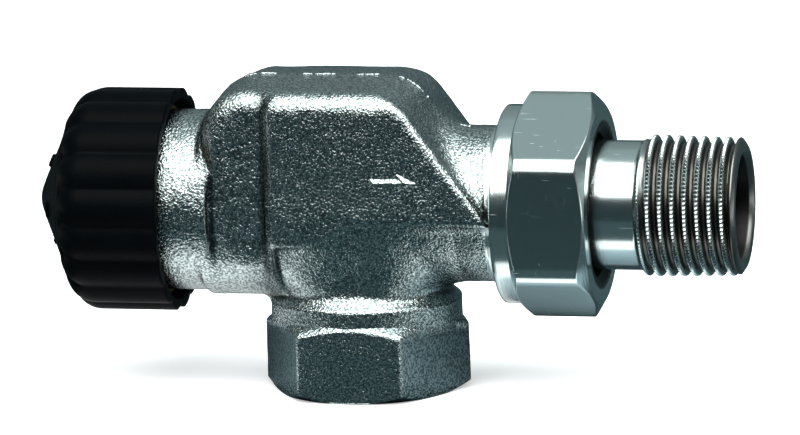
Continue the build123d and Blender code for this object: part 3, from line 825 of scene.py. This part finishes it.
def inlet_hexagon(finish):
    """Inlet end: hexagon 27 mm across flats with a cone cut at each end, and a threaded bore, as one closed
    ring round the inlet axis. Rows go down the outside, across the face and up the thread."""
    turns = 360
    angle = turn_angles(turns)
    high = np.concatenate([
        np.linspace(11.9, 9.1, 36, endpoint=False), np.linspace(9.1, 1.4, 24, endpoint=False),
        np.linspace(1.4, 0, 24),
    ])[:, None]
    cone = np.minimum(INLET_HALF + (INLET_HEX_TOP - high) / CHAMFER, INLET_END_RADIUS + high / CHAMFER)
    crown = 0.16 + 0.9 * smooth_step(high, 3.0, 8.0)
    outer = soft_min(hexagon_reach(angle, INLET_HALF, INLET_CORNER), cone, crown)
    height, size, seed = CAST_WAVES[0]
    worn = height * lattice_noise(upright_points(high, outer, angle), size, seed).reshape(outer.shape)
    outer = outer - SKIN_INSET + worn * smooth_step(high, 0.2, 0.8)
    face = ring_profile([(0, 13.3), (0, 10.75), (0.8, 9.95)], 0.4)
    bore_z = np.linspace(0.8, 13.6, 100)[:, None]
    fade = smooth_step(bore_z, 13.4, 12.2)
    bore = INLET_THREAD_BORE + THREAD_DEPTH * (1 - thread_wave(bore_z, angle)) * fade
    top = ring_profile([(13.9, INLET_THREAD_BORE), (13.9, 10.9), (11.5, 12.3)], 0.8)
    rows = [(high, outer), face, (bore_z, bore), top]
    mesh = ring_mesh("inlet_hexagon", rows, turns, upright_points, "cut", [high < 0.15, 1, 1, 1])
    return add_piece("inlet_hexagon", mesh, "housing", finish, None, 40)


TAIL_BORE, TAIL_TUBE = 7.65, 9.54
TAIL_TUBE_END_X = 41.9
TAIL_GAUGE_X, TAIL_GAUGE_RADIUS, TAIL_TAPER = 44.7, 10.42, 0.0215
TAIL_THREAD_SHIFT = 0.75 * PITCH - 44.84 % PITCH
NOTCHES, NOTCH_DEPTH = 100, 0.24
LUG_RISE, LUG_HALF = 1.2, 1.5
LUG_X, LUG_END_X = 32.4, 38.4


def threaded_tail(finish):
    """Tailpiece: cone nose, collar, tube and a tapered thread with notched crests, then the bore with two
    lugs. The thread's radius is the crest's, less the depth times what the wave lacks, less the notches."""
    turns = NOTCHES * 4
    angle = turn_angles(turns)
    nose = ring_profile([
        (NOSE_X, TAIL_BORE), (NOSE_X, 8.9), (NOSE_X + 0.15, 9.1), (30.5, 10.48), (30.8, 10.48), (30.8, 11.6),
        (31.1, 11.9), (32.1, 11.9), (32.4, 11.6), (32.4, 9.8), (32.7, TAIL_TUBE),
        (TAIL_TUBE_END_X, TAIL_TUBE),
    ], 0.7)
    run = np.linspace(TAIL_TUBE_END_X, TAIL_END_X - 0.5, 170)[:, None]
    crest = TAIL_GAUGE_RADIUS - TAIL_TAPER * (run - TAIL_GAUGE_X)
    wave = thread_wave(run, angle, PITCH, TAIL_THREAD_SHIFT)
    start = smooth_step(run, 42.0, 44.0)
    full = start * smooth_step(run, TAIL_END_X - 0.4, TAIL_END_X - 1.3)
    top = TAIL_TUBE + (crest - TAIL_TUBE) * smooth_step(run, 42.0, 43.4)
    top = np.minimum(top, TAIL_TUBE + 0.01 + (TAIL_END_X - run) * 0.9)
    notch = 0.5 + 0.5 * np.cos(NOTCHES * angle)
    cut = notch * smooth_step(wave, 0.6, 0.95) * full
    thread = top - THREAD_DEPTH * full * (1 - wave) - NOTCH_DEPTH * cut
    end = ring_profile([
        (TAIL_END_X, 9.2), (TAIL_END_X, 8.5), (TAIL_END_X - 0.2, 8.2), (TAIL_END_X - 0.9, TAIL_BORE)
    ], 0.4)
    bore_x = np.concatenate([
        np.linspace(TAIL_END_X - 0.9, 39.0, 8), np.linspace(38.6, 38.2, 5), np.linspace(37, 33, 4),
        np.linspace(32.6, 32.2, 5), np.linspace(31, NOSE_X + 0.3, 3),
    ])[:, None]
    lug = smooth_step(bore_x, LUG_X - 0.1, LUG_X + 0.1)
    lug = lug * smooth_step(bore_x, LUG_END_X + 0.1, LUG_END_X - 0.1)
    lug = lug * smooth_step(7.0 * np.abs(np.cos(angle)), LUG_HALF + 0.1, LUG_HALF - 0.1)
    bore = TAIL_BORE - LUG_RISE * lug
    # Painted shade through the groove mark: darker thread roots and notches, a darker end chamfer and face,
    # and a near-black bore.
    ending = smooth_step(run, TAIL_END_X - 1.4, TAIL_END_X - 0.9)
    shade = np.maximum((1 - smooth_step(wave, 0.3, 0.85)) * start * 0.95, 0.75 * ending)
    rows = [nose, (run, thread), end, (bore_x, bore)]
    levels = [0, np.maximum(shade, 0.8 * cut), 0.75, BORE_SHADE_MARK]
    mesh = ring_mesh("threaded_tail", rows, turns, mark="groove", levels=levels)
    return add_piece("threaded_tail", mesh, "tail", finish, "tailpiece", 45)


def outlet_thread(finish):
    """Parallel thread on the outlet: root radius plus the wave's depth, faded in at both ends."""
    turns = 320
    along = np.linspace(NUT_X + 0.3, OUTLET_X - 0.05, 110)[:, None]
    fade = smooth_step(along, NUT_X + 0.4, NUT_X + 1.6) * smooth_step(along, OUTLET_X, OUTLET_X - 1.2)
    wave = thread_wave(along, turn_angles(turns))
    crest = OUTLET_ROOT + (OUTLET_CREST - OUTLET_ROOT) * wave * fade
    lining = ring_profile([(OUTLET_X - 0.05, 12.0), (OUTLET_X - 0.05, 11.3), (NUT_X + 0.3, 11.3)], 1.2)
    mesh = ring_mesh("outlet_thread", [(along, crest), lining], turns)
    return add_piece("outlet_thread", mesh, "housing", finish, None, 45)


HEAD_ROOT, HEAD_THREAD_DEPTH, HEAD_LINING = 13.6, 0.84, 13.2
HEAD_SHOULDER_X, HEAD_SHOULDER_RADIUS = -29.9, 14.42


def head_thread(finish):
    """Fine head thread under the cap, its root radius plus the wave's depth, with a plain shoulder that shows
    inside the cap's rim."""
    turns = 240
    end = HEAD_SHOULDER_X - 1.6
    along = np.linspace(HEAD_X + 0.05, end, 70)[:, None]
    fade = smooth_step(along, HEAD_X, HEAD_X + 1.0) * smooth_step(along, end, end - 1.0)
    wave = thread_wave(along, turn_angles(turns), HEAD_PITCH)
    crest = HEAD_ROOT + HEAD_THREAD_DEPTH * wave * fade
    shoulder = ring_profile([
        (HEAD_SHOULDER_X - 1.5, HEAD_ROOT), (HEAD_SHOULDER_X - 1.4, 14.3),
        (HEAD_SHOULDER_X - 1.25, HEAD_SHOULDER_RADIUS), (HEAD_SHOULDER_X - 0.15, HEAD_SHOULDER_RADIUS),
        (HEAD_SHOULDER_X, 14.3), (HEAD_SHOULDER_X, HEAD_LINING), (HEAD_X + 0.05, HEAD_LINING),
    ], 0.6)
    mesh = ring_mesh("head_thread", [(along, crest), shoulder], turns)
    return add_piece("head_thread", mesh, "housing", finish, None, 45)


# Arrow and flash on the casting

def grid_solid(front, back):
    """Closed skin of two grids of points with one outline: the front, the back and a rim between them."""
    rows, columns = front.shape[:2]
    number = np.arange(rows * columns).reshape(rows, columns)
    flat = np.stack([number[:-1, :-1], number[:-1, 1:], number[1:, 1:], number[1:, :-1]], -1).reshape(-1, 4)
    edge = np.concatenate([number[0, :-1], number[:-1, -1], number[-1, :0:-1], number[:0:-1, 0]])
    after = np.roll(edge, -1)
    far = rows * columns
    rim = np.stack([after, edge, edge + far, after + far], -1)
    points = np.concatenate([front.reshape(-1, 3), back.reshape(-1, 3)])
    return points, np.concatenate([flat, flat[:, ::-1] + far, rim])


ARROW_X, ARROW_END_X = 3.9, 11.3
ARROW_HEIGHT = AXIS_HEIGHT + 5.4
ARROW_RISE = 0.70
ARROW_BAR_HALF = 0.65
ARROW_HEAD_LENGTH = 2.9
ARROW_WAVE = (0.06, 0.5, 12)


def flow_arrow(finish):
    """Raised arrow on the front: a height over a grid, full inside a bar and a barbed head, with soft
    sides."""
    x, h = np.meshgrid(np.linspace(ARROW_X - 0.8, ARROW_END_X + 0.8, 108), np.linspace(-1.9, 1.9, 46))
    bar = within(np.abs(h) - ARROW_BAR_HALF, ARROW_X - x, x - ARROW_END_X + 1.6)
    back = ARROW_END_X - x
    head = np.maximum(np.abs(h) - 0.44 * back, back - ARROW_HEAD_LENGTH - 0.35 * np.abs(h)) * 0.9
    lift = 1 - smooth_step(np.minimum(bar, head), -0.75, 0.40)
    height, size, seed = ARROW_WAVE
    worn = height * lattice_noise(np.stack([x, h, 0 * x], -1).reshape(-1, 3), size, seed).reshape(x.shape)
    front = np.stack([x, -BLOCK_DEPTH + 0.3 - (ARROW_RISE + worn) * lift, ARROW_HEIGHT + h], -1)
    rear = np.stack([x, np.full(x.shape, -BLOCK_DEPTH + 0.9), ARROW_HEIGHT + h], -1)
    mesh = fill_mesh("flow_arrow", *grid_solid(front, rear))
    return add_piece("flow_arrow", mesh, "housing", finish)


# The flash's levels are counted from the casting's outline
FLASH_X, FLASH_END_X = -20.5, 16.5
FLASH_HALF = 0.30
FLASH_LOW, FLASH_RISE = -0.12, 0.25
FLASH_FOOT, FLASH_BACK = -0.16, -0.40


def parting_flash(finish):
    """Broken ridge along the casting's parting line over the hump: a small roof section carried along the
    outline, its height switched on and off by noise. The outline is found by Newton steps in height."""
    x = np.linspace(FLASH_X, FLASH_END_X, 420)
    h = np.full(x.shape, HUMP_TOP + 1.0)
    for _ in range(60):
        h -= 0.7 * housing_outside(x, np.zeros(x.shape), h)
    run = np.stack([x, h, 0 * x], -1)
    breaks = lattice_noise(run, 2.3, 21) + 0.6 * lattice_noise(run, 0.7, 22)
    crest = FLASH_LOW + FLASH_RISE * smooth_step(breaks, -0.15, 0.25)
    slope = np.gradient(h, x)
    lean = 1 / np.sqrt(1 + slope * slope)
    section = [(-FLASH_HALF, FLASH_FOOT), (0.0, crest), (FLASH_HALF, FLASH_FOOT), (0.0, FLASH_BACK)]
    ring = [
        np.stack(np.broadcast_arrays(x - rise * slope * lean, across, AXIS_HEIGHT + h + rise * lean), -1)
        for across, rise in section
    ]
    points = np.stack(ring, 1).reshape(-1, 3)
    faces = ring_faces(len(x), len(section), False)
    mesh = fill_mesh("parting_flash", *close_poles(points, faces, len(section)))
    return add_piece("parting_flash", mesh, "housing", finish)


# Finishes

cast_finish = cast_nickel()
turned_finish = turned_nickel()
black_finish = moulded_black()
finishes = {
    "brass": plain_metal("turned_brass", (0.68, 0.48, 0.20, 1), (0.55, 0.37, 0.14, 1), 0.26),
    "steel": plain_metal("bright_steel", (0.62, 0.62, 0.63, 1), (0.50, 0.50, 0.51, 1), 0.22),
    "rubber": soft_plastic("seal_rubber", (0.032, 0.032, 0.034, 1), (0.016, 0.016, 0.017, 1), 0.55),
    "bush_plastic": soft_plastic("bush_plastic", (0.80, 0.78, 0.72, 1), (0.70, 0.68, 0.62, 1), 0.42),
    "plated_casting": cast_finish,
    "plated_turned": turned_finish,
    "cap_plastic": black_finish,
}
for row in frame["record"]["subparts"]:
    solid = frame["nodes"][row["node"]]
    solid.data.materials.clear()
    solid.data.materials.append(finishes[row["material_slot"]])

cast_housing(cast_finish)
inlet_hexagon(cast_finish)
fluted_cap(black_finish)
union_nut(turned_finish)
threaded_tail(turned_finish)
outlet_thread(turned_finish)
head_thread(finishes["brass"])
flow_arrow(cast_finish)
parting_flash(cast_finish)

# The return spring gets its own copy of its mesh
spring = frame["nodes"]["return_spring"]
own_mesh(spring)


# Camera

AZIMUTH, ELEVATION, ROLL = (math.radians(a) for a in (12.69, 11.186, -1.672))
DISTANCE = 1041.4
AIM = Vector((5.405, 0, AXIS_HEIGHT - 2.374))
SENSOR, LENS = 36, 316.8
CLIP_METRES = (0.05, 50)
back = Vector((
    math.sin(AZIMUTH) * math.cos(ELEVATION), -math.cos(AZIMUTH) * math.cos(ELEVATION), math.sin(ELEVATION)
))
right = Vector((math.cos(AZIMUTH), math.sin(AZIMUTH), 0))
up = back.cross(right)
turned_right = right * math.cos(ROLL) + up * math.sin(ROLL)
turned_up = up * math.cos(ROLL) - right * math.sin(ROLL)
camera = bpy.data.objects.new("camera", bpy.data.cameras.new("camera"))
bpy.context.scene.collection.objects.link(camera)
camera.data.sensor_width = SENSOR
camera.data.lens = LENS
camera.data.clip_start, camera.data.clip_end = CLIP_METRES
pose = Matrix((turned_right, turned_up, back)).transposed().to_4x4()
pose.translation = (AIM + back * DISTANCE) * MM
camera.matrix_world = pose
bpy.context.scene.camera = camera


# Floor, cards and light

def flat_card(name, corners, finish):
    """Four-cornered stage card through the given corners in millimetres."""
    mesh = fill_mesh(name, np.array(corners, float), np.arange(4)[None, :])
    mesh.materials.append(finish)
    card = bpy.data.objects.new(name, mesh)
    bpy.context.scene.collection.objects.link(card)
    return card


def floor_finish():
    """White floor: pale under the lamps, and lifted to white where the camera or a reflection sees it."""
    material, shader, _ = start_finish("white_floor")
    tree = material.node_tree
    rays = tree.nodes.new("ShaderNodeLightPath")
    seen, mirrored, passed = [
        Wire(tree, rays.outputs[n]) for n in ("Is Camera Ray", "Is Glossy Ray", "Is Transmission Ray")
    ]
    shader.inputs["Base Color"].default_value = (0.82, 0.83, 0.84, 1)
    shader.inputs["Roughness"].default_value = 0.9
    shader.inputs["Specular IOR Level"].default_value = 0.0
    shader.inputs["Emission Strength"].default_value = 0.42
    shown = (seen + mirrored + passed).math("MINIMUM", 1.0)
    feed(shader, Emission_Color=shown.mix((0, 0, 0, 1), (1, 1, 1, 1)))
    return material


def card_finish(name, colour):
    """Matt card of one colour."""
    material, shader, _ = start_finish(name)
    shader.inputs["Base Color"].default_value = colour
    shader.inputs["Roughness"].default_value = 1.0
    shader.inputs["Specular IOR Level"].default_value = 0.0
    return material


FLOOR, FLOOR_Z, CARD_Z = 8000, -0.06, -0.03
CARD_LEFT, CARD_RIGHT, CARD_FAR, CARD_TOP = -190, 200, 90, 64
WINDOW_LEFT, WINDOW_RIGHT, WINDOW_DEPTH = -55, 70, 25
UNION_LEFT, UNION_FRONT, UNION_REAR = 19, -14, 8
FLAG_REACH, FLAG_HEIGHT, FLAG_DEPTH = 15.9, 9, 14.2
GREY_CARDS = ("union_card", "left_flag", "right_flag")


def lying(left, right, near, far, z=CARD_Z):
    """Corners of a card that lies flat."""
    return [(left, near, z), (right, near, z), (right, far, z), (left, far, z)]


def standing(start, end, top):
    """Corners of an upright card over the line from start to end."""
    return [(*start, 0), (*end, 0), (*end, top), (*start, top)]


flat_card("floor", lying(-FLOOR, FLOOR, -FLOOR, FLOOR, FLOOR_Z), floor_finish())
black = card_finish("black_card", (0.035, 0.058, 0.064, 1))
grey = card_finish("grey_card", (0.36, 0.47, 0.52, 1))
cards = {
    "left_card": lying(CARD_LEFT, WINDOW_LEFT, -WINDOW_DEPTH, WINDOW_DEPTH),
    "right_card": lying(WINDOW_RIGHT, CARD_RIGHT, -WINDOW_DEPTH, WINDOW_DEPTH),
    # A dark sheet under the hexagon, seen only in reflections: painted shade for the shadowed floor beneath
    # the object.
    "foot_shade_card": lying(-FLAG_REACH, FLAG_REACH, -WINDOW_DEPTH, WINDOW_DEPTH),
    "union_card": lying(UNION_LEFT, WINDOW_RIGHT, UNION_FRONT, UNION_REAR),
    "union_rear_card": lying(UNION_LEFT, WINDOW_RIGHT, UNION_REAR, WINDOW_DEPTH),
}
for name, side in (("front", -1), ("rear", 1)):
    far = side * CARD_FAR
    cards[f"{name}_lying_card"] = lying(CARD_LEFT, CARD_RIGHT, side * WINDOW_DEPTH, far)
    cards[f"{name}_standing_card"] = standing((CARD_LEFT, far), (CARD_RIGHT, far), CARD_TOP)
for name, side in (("left", -1), ("right", 1)):
    place = side * FLAG_REACH
    cards[f"{name}_flag"] = standing((place, -FLAG_DEPTH), (place, FLAG_DEPTH), FLAG_HEIGHT)
for name, corners in cards.items():
    card = flat_card(name, corners, grey if name in GREY_CARDS else black)
    card.visible_camera = card.visible_shadow = card.visible_diffuse = False


LAMP_AIM = (0, 0, 0.03)


def softbox(name, place, size, power, colour):
    """Rectangular lamp at a place in metres, turned to the object."""
    lamp = bpy.data.lights.new(name, "AREA")
    lamp.shape = "RECTANGLE"
    lamp.size, lamp.size_y = size
    lamp.energy = power
    lamp.color = colour
    holder = bpy.data.objects.new(name, lamp)
    bpy.context.scene.collection.objects.link(holder)
    holder.location = place
    holder.rotation_euler = (Vector(LAMP_AIM) - Vector(place)).to_track_quat("-Z", "Y").to_euler()


softbox("front_softbox", (0.20, -0.40, 0.835), (2.2, 1.10), 41.0, (1.0, 0.99, 0.97))
softbox("rear_softbox", (0.0, 0.65, 0.75), (1.5, 0.5), 0.2, (0.95, 0.98, 1.0))

SKY_BASE, SKY_REAR, SKY_TOP = 0.08, 0.25, 0.42
world = bpy.data.worlds.new("studio")
bpy.context.scene.world = world
world.use_nodes = True
direction = Wire(world.node_tree, world.node_tree.nodes.new("ShaderNodeTexCoord").outputs["Generated"])
_, along, upward = split_place(direction)
level = SKY_BASE + along.between(-0.3, 0.9) * SKY_REAR + upward.between(0.65, 1.0) * SKY_TOP
ground = world.node_tree.nodes["Background"]
ground.inputs["Color"].default_value = (0.80, 0.99, 1.0, 1)
feed(ground, Strength=level)

bpy.context.scene.view_settings.view_transform = "Standard"
